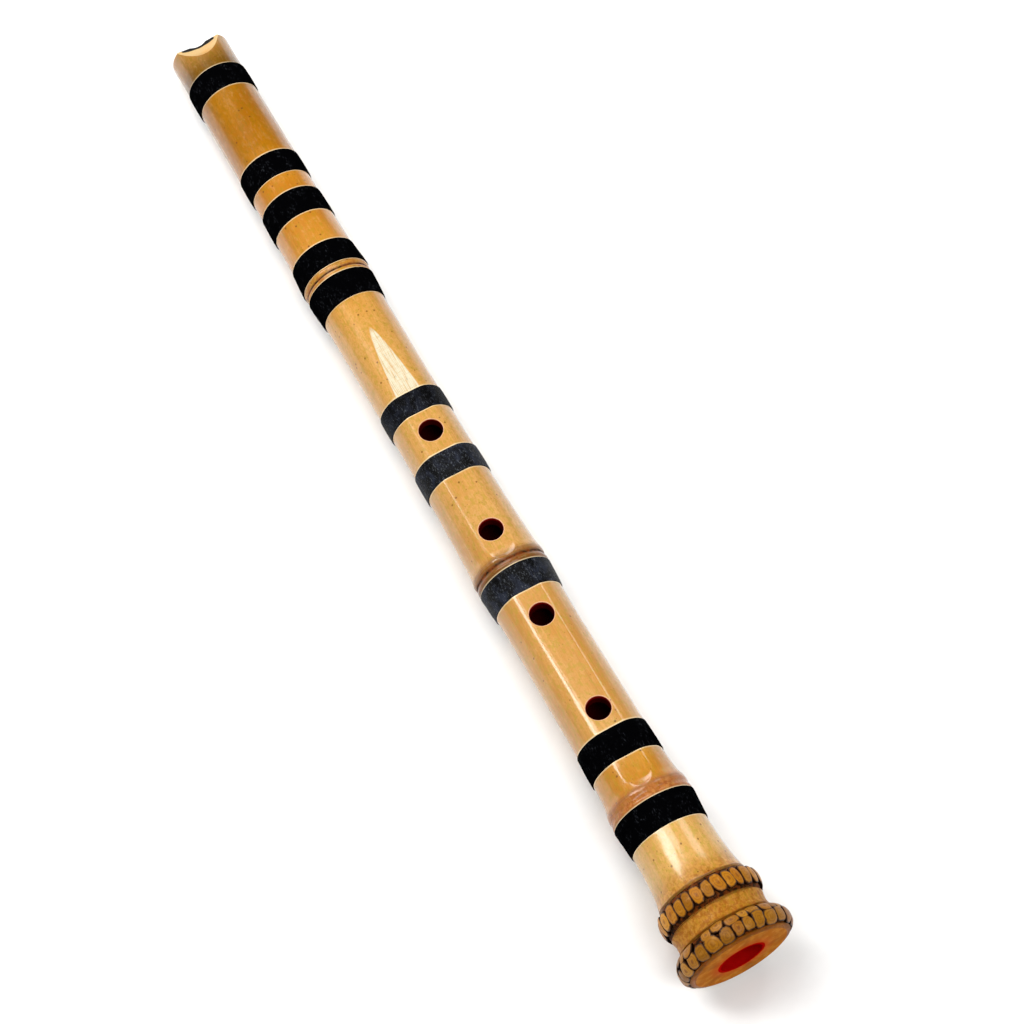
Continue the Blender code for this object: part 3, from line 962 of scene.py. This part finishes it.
def place_piece(item, body, slot, *nodes):
    """Put a finished piece on its body, in place of the CAD nodes it stands for."""
    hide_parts(*nodes)
    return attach(item, body)


def rim_fall(s):
    """How far the rounded rim of the mouth end lies inside the bamboo's outline."""
    corner = np.clip(RIM_ROUND - s, 0.0, RIM_ROUND)
    return RIM_ROUND - np.sqrt(RIM_ROUND ** 2 - corner ** 2)


def end_fall(off):
    """How far an end at the joint lies inside the outline, at a distance from the end."""
    end = np.clip(END_ROUND - off, 0.0, END_ROUND)
    return 3.0 * end * end


def build_mouth_bamboo(skin, cut):
    """Bamboo of the mouth section, with its blowing bevel and the inlay's seat."""
    rows = np.unique(np.concatenate((np.arange(0.0, 2.0, 0.1), culm_rows(0.0, JOINT))))
    socket = ends_of("joint_tenon")[0] - 2.0 * GAP
    pairs = rings_of("upper_culm")
    wide = pairs[pairs[:, 1] < SOCKET_MOST, 1].max()
    lining = bore_of("upper_bore_lining", True)

    def outer(s, angle):
        return bamboo(s, angle) - rim_fall(s) - end_fall(JOINT - s)

    def inner(s, angle):
        return np.where(s > socket, wide, lining(s) + GAP) + 0.0 * angle

    inner_rows = np.array([0.0, 1.0, 6.0, 12.0, 40.0, 90.0, socket - 0.01, socket + 0.01,
                           165.0, JOINT])
    tube = Tube(rows, inner_rows, outer, inner, angles(CULM_POINTS, FRONT_DENSITY),
                cut_to=RIM_ROUND * 0.6)
    item = finish_mesh(tube.build("mouth_bamboo"), (skin, cut))
    cut_bevel(item, cut)
    mark(item)
    return place_piece(item, UPPER, "bamboo_upper", "upper_culm")


def build_root_bamboo(skin, cut, lacquer):
    """Bamboo of the root section, with its flat, its holes and its root end."""
    start = ends_of("lower_culm")[0]
    seat = ends_of("joint_tenon")[1] + GAP
    pairs = rings_of("lower_culm")
    wide = pairs[(pairs[:, 1] < SOCKET_MOST) & (pairs[:, 0] < seat + 1.0), 1].max()
    lining = bore_of("lower_bore_lining", True)
    rows = culm_rows(start, LENGTH)

    def outer(s, angle):
        return bamboo(s, angle) - end_fall(s - start)

    def inner(s, angle):
        return np.where(s < seat, wide, lining(s) + GAP) + 0.0 * angle

    ends = [start, seat - 0.01, seat + 0.01, LENGTH]
    inner_rows = np.unique(np.concatenate((sparse_rows(rows, 12), ends)))
    face = [(LENGTH, 22.0), (LENGTH - 0.02, 20.0), (LENGTH - 0.08, 17.0),
            (LENGTH - 0.08, 14.0), (LENGTH - 0.02, 12.3)]

    def spread(s):
        """Turn of the inner skin's points towards the sides, to pass round the holes."""
        return SPREAD * held(np.minimum(s - SPREAD_FROM, SPREAD_TO - s) / SPREAD_RUN)

    tube = Tube(rows, inner_rows, outer, inner, angles(CULM_POINTS, FRONT_DENSITY), face,
                spread=spread)
    for station in FINGER_HOLES:
        tube.hole(station, FINGER_HOLE_RADIUS, 1, (1, 2))
    for station in THUMB_HOLES:
        tube.hole(station, THUMB_HOLE_RADIUS, -1, (1, 2), 1.1)
    item = finish_mesh(tube.build("root_bamboo"), (skin, cut, lacquer))
    mark(item)
    return place_piece(item, LOWER, "bamboo_lower", "lower_culm")


def build_mouth_lining(lacquer):
    """Lacquered bore of the mouth section."""
    node = "upper_bore_lining"
    bore, outside = bore_of(node), bore_of(node, True)
    stations = np.concatenate((np.linspace(0.0, INLAY_RUN, 57),
                               np.linspace(20.0, ends_of(node)[1], 16)))
    loop = [(s, outside(s) + GAP - SLIP) for s in stations]
    loop += [(s, bore(s)) for s in stations[::-1]]
    item = turned("mouth_lining", loop, TUBE_POINTS, (lacquer,))
    cut_bevel(item, lacquer)
    return place_piece(item, UPPER, "red_lacquer", node)


def build_root_lining(lacquer):
    """Lacquered bore of the root section, open at every hole."""
    node = "lower_bore_lining"
    start, end = ends_of(node)
    bore, outside = bore_of(node), bore_of(node, True)
    rows = sparse_rows(np.arange(start, end, 0.8), 6)
    rows = np.unique(np.append(rows[end - rows > 0.5], end))
    tube = Tube(rows, rows, lambda s, angle: outside(s) + GAP - SLIP + 0.0 * angle,
                lambda s, angle: bore(s) + 0.0 * angle, angles(TUBE_POINTS))
    for station in FINGER_HOLES:
        tube.hole(station, FINGER_HOLE_RADIUS + SLIP, 1, (0, 0), 1.5)
    for station in THUMB_HOLES:
        tube.hole(station, THUMB_HOLE_RADIUS + SLIP, -1, (0, 0), 1.4)
    item = tube.build("root_lining")
    item.data.polygons.foreach_set("material_index", [0] * len(item.data.polygons))
    finish_mesh(item, (lacquer,))
    return place_piece(item, LOWER, "red_lacquer", node)


def build_inlay(horn):
    """Half-moon horn inlay whose inner edge is the blowing edge."""
    edge = float(bore_of("upper_bore_lining")(0.0))
    loop = [(s, float(OUTLINE(s) - rim_fall(s))) for s in np.linspace(0.0, INLAY_RUN, 57)]
    item = turned("horn_inlay", loop + [(INLAY_RUN, edge), (0.0, edge)], INLAY_POINTS, (horn,))
    scoop, seat = bevel_tools(horn)
    boolean(item, scoop)
    remove(scoop, seat)
    plate = prism("plate_tool", crescent(), -INLAY_THICKNESS, TOOL_REACH, bevel_axes(), horn)
    boolean(item, plate, "INTERSECT")
    remove(plate)
    finish_mesh(item, (horn,), 30.0)
    return place_piece(item, UPPER, "dark_horn", "utaguchi_inlay")


def build_tenon(lacquer):
    """Bored tenon of the middle joint, with a rounded end."""
    first, last = ends_of("joint_tenon")
    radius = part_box("joint_tenon")[1].z / MM
    bore = profile(rings_of("joint_tenon"), False)[1].min()
    loop = []
    for degrees in range(0, 91, 10):
        a = math.radians(degrees)
        loop.append((first + TENON_ROUND * (1.0 - math.cos(a)),
                     radius - TENON_ROUND * (1.0 - math.sin(a))))
    loop += [(s, radius) for s in np.arange(first + 1.6, last - 0.4, 0.7)]
    loop += [(last - 0.2, radius), (last, radius - 0.2), (last, bore), (first + 0.3, bore),
             (first, bore + 0.3)]

    def marks(s, angle):
        turned_part = (s > first + 1.2) & (s < last - 1.0)
        return np.where(turned_part, 0.012 * np.sin(s * 4.0), 0.0) + 0.0 * angle

    item = turned("middle_joint_tenon", loop, TUBE_POINTS, (lacquer,), marks)
    return place_piece(item, LOWER, "tenon_lacquer", "joint_tenon")


def build_band(number, node, first, last, thread):
    """One binding: rounds of thread side by side, pressed over the bamboo's flat."""
    turns = round((last - first) / THREAD_PITCH)
    pitch = (last - first) / turns
    middle, half = (first + last) / 2.0, (last - first) / 2.0
    around = angles(BAND_POINTS, FRONT_DENSITY)
    across = np.array((-0.97, -0.68, -0.25, 0.25, 0.68, 0.97))
    stations, radii = [], []
    for turn in range(turns):
        lift = RANDOM.normal(0.0, 0.012)
        phase = RANDOM.uniform(0.0, 2.0 * math.pi)
        for p in across:
            s = first + (turn + 0.5 + 0.5 * p) * pitch
            at = np.full_like(around, s)
            crown = BAND_PROUD - 0.15 * ((s - middle) / half) ** 2
            top = surface(at, around, crown, 1.3)
            top += lift + 0.01 * np.sin(3.0 * around + phase)
            stations.append(s)
            radii.append(top - 0.5 * pitch * (1.0 - math.sqrt(1.0 - p * p)))
    for s in np.linspace(last, first, 5):
        stations.append(s)
        radii.append(surface(np.full_like(around, s), around, -BAND_SUNK, FLAT_ROUND))
    points = grid_points(np.array(stations)[:, None], np.array(radii), around).reshape(-1, 3)
    item = make_mesh(f"thread_binding_{number:02d}", points,
                     grid_faces(len(stations), BAND_POINTS).reshape(-1, 4))
    finish_mesh(item, (thread,), 60.0)
    body = UPPER if last <= JOINT + 0.1 else LOWER
    return place_piece(item, body, "black_thread", node)


# ---- root stubs
def root_path():
    """Outline of the root end by its own length: station, radius and outward normal."""
    s = np.linspace(505.0, LENGTH, 801)
    r = OUTLINE(s)
    length = np.concatenate(([0.0], np.cumsum(np.hypot(np.diff(s), np.diff(r)))))
    ds, dr = np.gradient(s, length), np.gradient(r, length)
    return s, r, length, -dr, ds


def stub(path, centre, angle, half_long, half_wide, tilt, lift):
    """Points and rho values of one root stub: a rounded peg with a nearly flat cut face."""
    s, r, length, out_s, out_r = path
    turns = angles(STUB_POINTS)
    power = RANDOM.uniform(0.62, 0.84)
    bulge = 1.0 + 0.06 * np.sin(2.0 * turns + RANDOM.uniform(0, 6)) \
        + 0.05 * np.sin(3.0 * turns + RANDOM.uniform(0, 6))
    a = np.sign(np.cos(turns)) * np.abs(np.cos(turns)) ** power * bulge
    b = np.sign(np.sin(turns)) * np.abs(np.sin(turns)) ** power * bulge
    share, height, value = np.array(STUB_RINGS).T[:, :, None]
    x, y = a * share * half_long, b * share * half_wide
    along = np.append(0.0, x * math.cos(tilt) - y * math.sin(tilt))
    across = np.append(0.0, x * math.sin(tilt) + y * math.cos(tilt))
    high = np.append(STUB_TOP, height + 0.0 * x) + lift
    rho = np.append(0.0, value + 0.0 * x)
    at = centre + along
    station = np.interp(at, length, s) + np.interp(at, length, out_s) * high
    base = np.interp(at, length, r)
    radius = base + np.interp(at, length, out_r) * high
    turn = angle + across / base
    return np.stack((station, radius * np.sin(turn), radius * np.cos(turn)), -1), rho


def stub_faces(first):
    """Faces of a stub whose points start at a number."""
    rings = first + 1 + np.arange(len(STUB_RINGS) * STUB_POINTS).reshape(-1, STUB_POINTS)
    after = np.roll(rings, -1, axis=1)
    faces = [(first, a, b) for a, b in zip(rings[0], after[0])]
    for ring in range(len(rings) - 1):
        faces += zip(rings[ring], rings[ring + 1], after[ring + 1], after[ring])
    return faces + [tuple(rings[-1])]


def build_root_stubs(material):
    """Cut root stubs: one row in the first ring and two uneven rows in the second."""
    path = root_path()
    s, r, length = path[:3]
    points, rho, faces = [], [], []
    count = 0
    for many, station, half_long, scatter, missing in STUB_ROWS:
        centre = float(np.interp(station, s, length))
        radius = float(np.interp(station, s, r))
        share = RANDOM.uniform(0.78, 1.22, many)
        share *= 2.0 * math.pi / share.sum()
        middle = np.cumsum(share) - share / 2.0 + RANDOM.uniform(0.0, 0.2)
        for angle, wide in zip(middle, share):
            skip = RANDOM.uniform() < missing
            shape = stub(path, centre + RANDOM.normal(0.0, scatter), angle,
                         half_long * RANDOM.uniform(0.88, 1.06), wide * radius * 0.545,
                         RANDOM.normal(0.0, 0.08), RANDOM.uniform(-0.35, 0.0))
            if skip:
                continue
            points.append(shape[0])
            rho.append(shape[1])
            faces += stub_faces(count)
            count += len(shape[0])
    item = make_mesh("root_stubs", np.concatenate(points), faces)
    write_values(item, rho=np.concatenate(rho))
    finish_mesh(item, (material,), 60.0)
    return place_piece(item, LOWER, "bamboo_lower", "lower_culm")


# ---- floor, light, camera
def build_floor(material):
    """Pale floor that the flute lies on, from its bindings to its root end."""
    low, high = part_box("binding_01")
    root_x, root_z = (MOUTH + ROOT_REST) * MM, cad_box[0].z
    slope = (root_z - low.z) / (root_x - (low.x + high.x) / 2.0)
    corners = []
    for x, y in ((-1, -1), (1, -1), (1, 1), (-1, 1)):
        x, y = x * FLOOR_HALF, y * FLOOR_HALF
        corners.append((x, y, root_z + (x - root_x) * slope - FLOOR_GAP))
    mesh = bpy.data.meshes.new("floor")
    mesh.from_pydata(corners, [], [(0, 1, 2, 3)])
    mesh.materials.append(material)
    add_object("floor", mesh)


def aim_lamp(item, place):
    """Turn a lamp so that it shines from a place towards the middle of the flute."""
    item.rotation_mode = "QUATERNION"
    item.rotation_quaternion = Vector(place).to_track_quat("Z", "X")


def build_softbox(name, place, size, radiance):
    """Rectangular area light of a given radiance, facing the middle of the flute."""
    data = bpy.data.lights.new(name, "AREA")
    data.shape = "RECTANGLE"
    data.size, data.size_y = size
    data.energy = radiance * math.pi * size[0] * size[1]
    item = add_object(name, data)
    item.location = place
    aim_lamp(item, place)


def build_room():
    """Dim room round the flute, darker overhead, that the camera sees as plain white."""
    world = bpy.data.worlds.new("studio")
    bpy.context.scene.world = world
    world.use_nodes = True
    sky = Nodes(world.node_tree)
    sky.tree.nodes.clear()
    place = sky.node("TexCoord").outputs["Generated"]
    overhead = sky.node("VectorMath", {0: place, 1: DARK_PATCH.normalized()},
                        operation="DOT_PRODUCT").outputs["Value"]
    strength = sky.span(overhead, math.cos(math.radians(86.0)), math.cos(math.radians(48.0)),
                        0.48, 0.06)
    room = sky.node("Background", {"Strength": strength}).outputs[0]
    white = sky.node("Background", {"Color": (1.0, 1.0, 1.0, 1.0), "Strength": 1.0}).outputs[0]
    seen = sky.node("LightPath").outputs["Is Camera Ray"]
    both = sky.node("MixShader", {0: seen, 1: room, 2: white}).outputs[0]
    sky.node("OutputWorld", {0: both})


def build_light():
    """Room, sun lamp and softboxes."""
    build_room()
    sun = bpy.data.lights.new("key", "SUN")
    sun.energy = SUN_STRENGTH
    sun.angle = math.radians(36.0)
    aim_lamp(add_object("key", sun), SUN_PLACE)
    for name, (place, size, radiance) in SOFTBOXES.items():
        build_softbox(name, place, size, radiance)


def build_camera():
    """Camera above the root end, leaning to the flute's right, rolled as it is held."""
    lean = math.radians(9.0)
    distance, foot = 1.1987, 0.5931
    aim_x, aim_aside = 0.0367, 0.0149
    across, down = 0.51441, 0.85754
    spot = Vector((foot, -distance * math.sin(lean), distance * math.cos(lean)))
    aim = Vector((aim_x, aim_aside * math.cos(lean), aim_aside * math.sin(lean)))
    forward = (aim - spot).normalized()
    plane = Vector((0.0, math.cos(lean), math.sin(lean)))
    flute = forward.cross(plane).normalized()
    flute = flute if flute.x > 0 else -flute
    beside = (-forward).cross(flute).normalized()
    right = flute * across + beside * down
    up = beside * across - flute * down
    data = bpy.data.cameras.new("camera")
    data.sensor_width = 36.0
    data.lens = 100.5
    item = add_object("camera", data)
    turn = Matrix((right, up, -forward)).transposed()
    item.matrix_world = Matrix.Translation(spot) @ turn.to_4x4()
    bpy.context.scene.camera = item


def main():
    """Build every piece, the stage and the camera."""
    skin, cut, lacquer = bamboo_material(), cut_material(), lacquer_material()
    horn, thread = horn_material(), thread_material()
    build_mouth_bamboo(skin, cut)
    build_root_bamboo(skin, cut, lacquer)
    build_mouth_lining(lacquer)
    build_root_lining(lacquer)
    build_inlay(horn)
    build_tenon(tenon_material())
    for number, (node, first, last) in enumerate(BANDS, 1):
        build_band(number, node, first, last, thread)
    build_root_stubs(stub_material())
    build_floor(floor_material())
    build_light()
    build_camera()
    bpy.context.scene.view_settings.view_transform = "Standard"


main()
bpy.context.view_layer.update()
